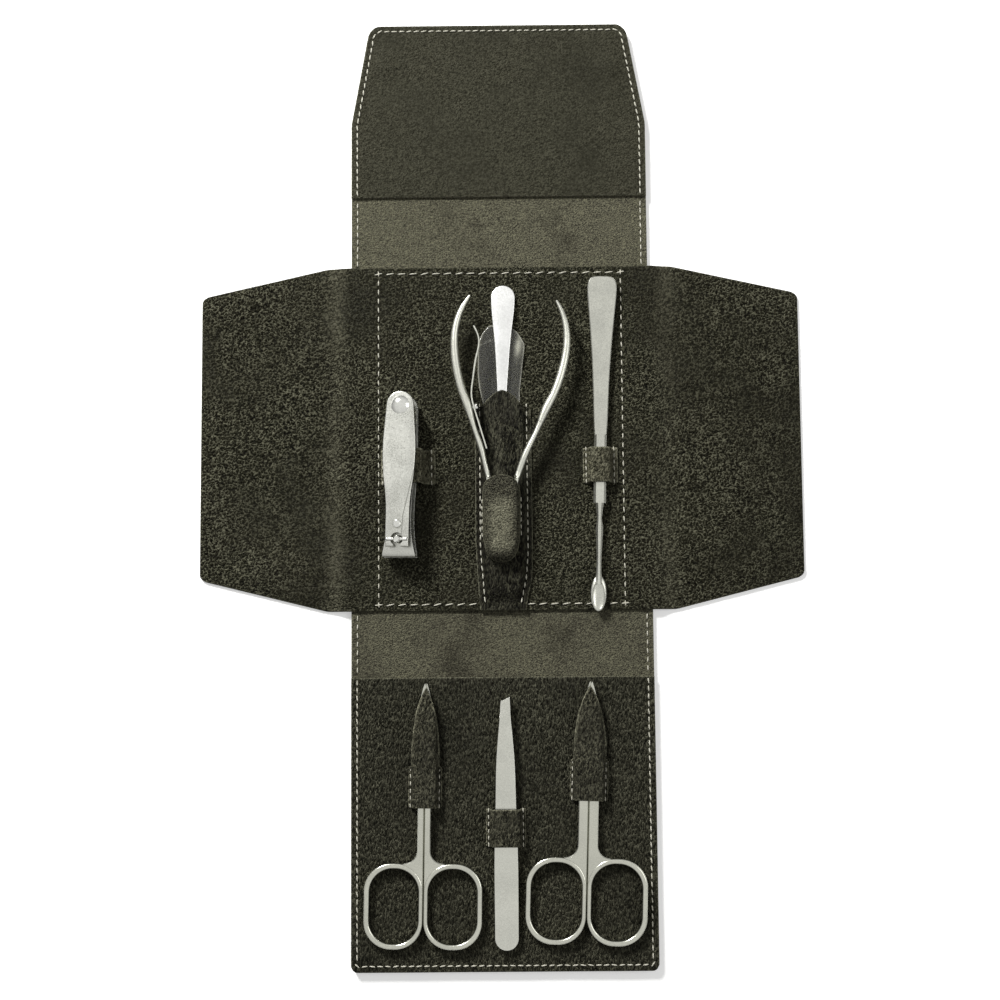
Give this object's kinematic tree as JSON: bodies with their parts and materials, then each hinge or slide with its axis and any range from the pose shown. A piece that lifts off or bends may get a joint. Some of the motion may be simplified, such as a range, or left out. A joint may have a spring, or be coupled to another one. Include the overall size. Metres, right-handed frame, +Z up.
{
  "type": "manicure set case",
  "caption": "Folding leather case, open flat, with a lid, spines, gusseted side wings and steel manicure tools held in straps, a pocket and sheaths.",
  "frame": {"origin": "on the table, under the middle of the open case", "axes": "+X to the right wing, +Y from the bottom panel to the lid, +Z up out of the inside of the case"},
  "size_m": [0.2164, 0.341, 0.0149],
  "materials": {
    "outer_leather": "smooth semi-matte, waxed edges",
    "suede_lining": "napped flesh side, matte",
    "facing_leather": "grained, semi-matte",
    "pebbled_leather": "pebbled grain, semi-matte",
    "strap_leather": "grained, semi-matte",
    "worn_leather": "rubbed nubuck, matte",
    "magnet_plate": "plain nickel plate",
    "file_grit": "fine diamond grit on steel",
    "polished_steel": "polished",
    "satin_steel": "satin, glass-bead blasted",
    "clear_film": "clear soft vinyl film"
  },
  "bodies": {
    "case_back": {"centre_leather": "outer_leather", "centre_lining": "suede_lining", "tool_panel": "pebbled_leather", "clipper_strap": "strap_leather", "pusher_strap": "strap_leather", "file_pocket": "strap_leather", "file_sleeve": "clear_film", "nipper_sheath": "worn_leather"},
    "top_spine": {"top_spine_leather": "outer_leather", "top_spine_lining": "suede_lining"},
    "lid": {"lid_leather": "outer_leather", "lid_lining": "suede_lining", "lid_facing": "facing_leather", "lid_magnets": "magnet_plate"},
    "bottom_spine": {"bottom_spine_leather": "outer_leather", "bottom_spine_lining": "suede_lining"},
    "bottom_panel": {"bottom_panel_leather": "outer_leather", "bottom_panel_lining": "suede_lining", "bottom_panel_facing": "facing_leather", "closure_discs": "magnet_plate", "tweezers_strap": "strap_leather", "left_scissors_sheath": "strap_leather", "right_scissors_sheath": "strap_leather"},
    "left_gusset": {"left_gusset": "pebbled_leather"},
    "left_wing": {"left_wing": "pebbled_leather"},
    "right_gusset": {"right_gusset": "pebbled_leather"},
    "right_wing": {"right_wing": "pebbled_leather"},
    "clipper_body": {"clipper_lower_leaf": "satin_steel", "clipper_tail_rivet": "polished_steel"},
    "clipper_upper_leaf": {"clipper_upper_leaf": "satin_steel"},
    "clipper_post": {"clipper_post": "polished_steel", "clipper_cross_pin": "polished_steel"},
    "clipper_lever": {"clipper_lever": "satin_steel", "clipper_lever_boss": "polished_steel", "clipper_lever_stud": "polished_steel"},
    "nipper_left": {"nipper_left_half": "satin_steel", "nipper_pivot_screw": "polished_steel", "nipper_spring_screw": "polished_steel"},
    "nipper_right": {"nipper_right_half": "satin_steel"},
    "nipper_spring": {"nipper_spring": "satin_steel"},
    "file": {"file_body": "satin_steel", "file_grit": "file_grit"},
    "pusher": {"pusher": "satin_steel"},
    "left_scissors": {"left_scissors_inner_half": "satin_steel", "left_scissors_screw": "polished_steel"},
    "left_scissors_outer": {"left_scissors_outer_half": "satin_steel"},
    "right_scissors": {"right_scissors_inner_half": "satin_steel", "right_scissors_screw": "polished_steel"},
    "right_scissors_outer": {"right_scissors_outer_half": "satin_steel"},
    "tweezers": {"tweezers_lower_arm": "satin_steel"},
    "tweezers_upper": {"tweezers_upper_arm": "satin_steel"}
  },
  "joints": [
    {"name": "top_spine_fold", "type": "hinge", "parent": "case_back", "child": "top_spine", "pos_m": [0, 0.0801, 0.0016], "axis": [1, 0, 0], "range_deg": [0, 90]},
    {"name": "lid_fold", "type": "hinge", "parent": "top_spine", "child": "lid", "pos_m": [0, 0.1052, 0.0016], "axis": [1, 0, 0], "range_deg": [0, 90]},
    {"name": "bottom_spine_fold", "type": "hinge", "parent": "case_back", "child": "bottom_spine", "pos_m": [0, -0.0461, 0.0016], "axis": [-1, 0, 0], "range_deg": [0, 90]},
    {"name": "bottom_panel_fold", "type": "hinge", "parent": "bottom_spine", "child": "bottom_panel", "pos_m": [0, -0.0679, 0.0016], "axis": [-1, 0, 0], "range_deg": [0, 90]},
    {"name": "left_gusset_fold", "type": "hinge", "parent": "case_back", "child": "left_gusset", "pos_m": [-0.054, 0, 0.0026], "axis": [0, 1, 0], "range_deg": [0, 90]},
    {"name": "left_wing_fold", "type": "hinge", "parent": "left_gusset", "child": "left_wing", "pos_m": [-0.0676, 0, 0.001], "axis": [0, 1, 0], "range_deg": [0, 90]},
    {"name": "right_gusset_fold", "type": "hinge", "parent": "case_back", "child": "right_gusset", "pos_m": [0.054, 0, 0.0026], "axis": [0, -1, 0], "range_deg": [0, 90]},
    {"name": "right_wing_fold", "type": "hinge", "parent": "right_gusset", "child": "right_wing", "pos_m": [0.0676, 0, 0.001], "axis": [0, -1, 0], "range_deg": [0, 90]},
    {"name": "clipper_slide", "type": "slide", "parent": "case_back", "child": "clipper_body", "axis": [0.0173, 0.9998, 0.0021], "range_m": [-0.01, 0]},
    {"name": "clipper_jaw_press", "type": "hinge", "parent": "clipper_body", "child": "clipper_upper_leaf", "pos_m": [-0.03464, 0.03239, 0.00495], "axis": [-0.9924, 0.0175, -0.1219], "range_deg": [-2, 0], "stiffness_Nm_per_rad": 5},
    {"name": "clipper_post_turn", "type": "hinge", "parent": "clipper_body", "child": "clipper_post", "pos_m": [-0.03539, -0.0197, 0.00359], "axis": [-0.1219, 0, 0.9925], "range_deg": [-180, 0]},
    {"name": "clipper_lever_lift", "type": "hinge", "parent": "clipper_post", "child": "clipper_lever", "pos_m": [-0.03663, -0.0197, 0.01372], "axis": [-0.9924, 0.0175, -0.1219], "range_deg": [-150, 0]},
    {"name": "nipper_slide", "type": "slide", "parent": "case_back", "child": "nipper_left", "axis": [-0.0663, -0.9978, 0], "range_m": [-0.034, 0]},
    {"name": "nipper_squeeze", "type": "hinge", "parent": "nipper_left", "child": "nipper_right", "pos_m": [-0.0002, -0.009, 0.0087], "axis": [0, 0, -1], "range_deg": [-8, 0]},
    {"name": "nipper_spring_flex", "type": "hinge", "parent": "nipper_left", "child": "nipper_spring", "pos_m": [-0.00988, 0.02712, 0.0087], "axis": [0, 0, -1], "range_deg": [-2.8, 0], "stiffness_Nm_per_rad": 0.1},
    {"name": "file_slide", "type": "slide", "parent": "case_back", "child": "file", "axis": [-0.0175, -0.9998, 0], "range_m": [-0.072, 0]},
    {"name": "pusher_slide", "type": "slide", "parent": "case_back", "child": "pusher", "axis": [-0.0253, -0.9997, 0], "range_m": [-0.059, 0]},
    {"name": "left_scissors_slide", "type": "slide", "parent": "bottom_panel", "child": "left_scissors", "axis": [0.0175, 0.9998, 0], "range_m": [-0.046, 0]},
    {"name": "left_scissors_open", "type": "hinge", "parent": "left_scissors", "child": "left_scissors_outer", "pos_m": [-0.0277, -0.1067, 0.0046], "axis": [0, 0, 1], "range_deg": [-6.5, 0]},
    {"name": "right_scissors_slide", "type": "slide", "parent": "bottom_panel", "child": "right_scissors", "axis": [0.0349, 0.9994, 0], "range_m": [-0.046, 0]},
    {"name": "right_scissors_open", "type": "hinge", "parent": "right_scissors", "child": "right_scissors_outer", "pos_m": [0.03, -0.1046, 0.0046], "axis": [0, 0, -1], "range_deg": [-7, 0]},
    {"name": "tweezers_slide", "type": "slide", "parent": "bottom_panel", "child": "tweezers", "axis": [0, 1, 0], "range_m": [-0.055, 0]},
    {"name": "tweezers_squeeze", "type": "hinge", "parent": "tweezers", "child": "tweezers_upper", "pos_m": [0.0007, -0.15, 0.00395], "axis": [1, 0, 0], "range_deg": [-0.9, 0], "stiffness_Nm_per_rad": 3}
  ]
}
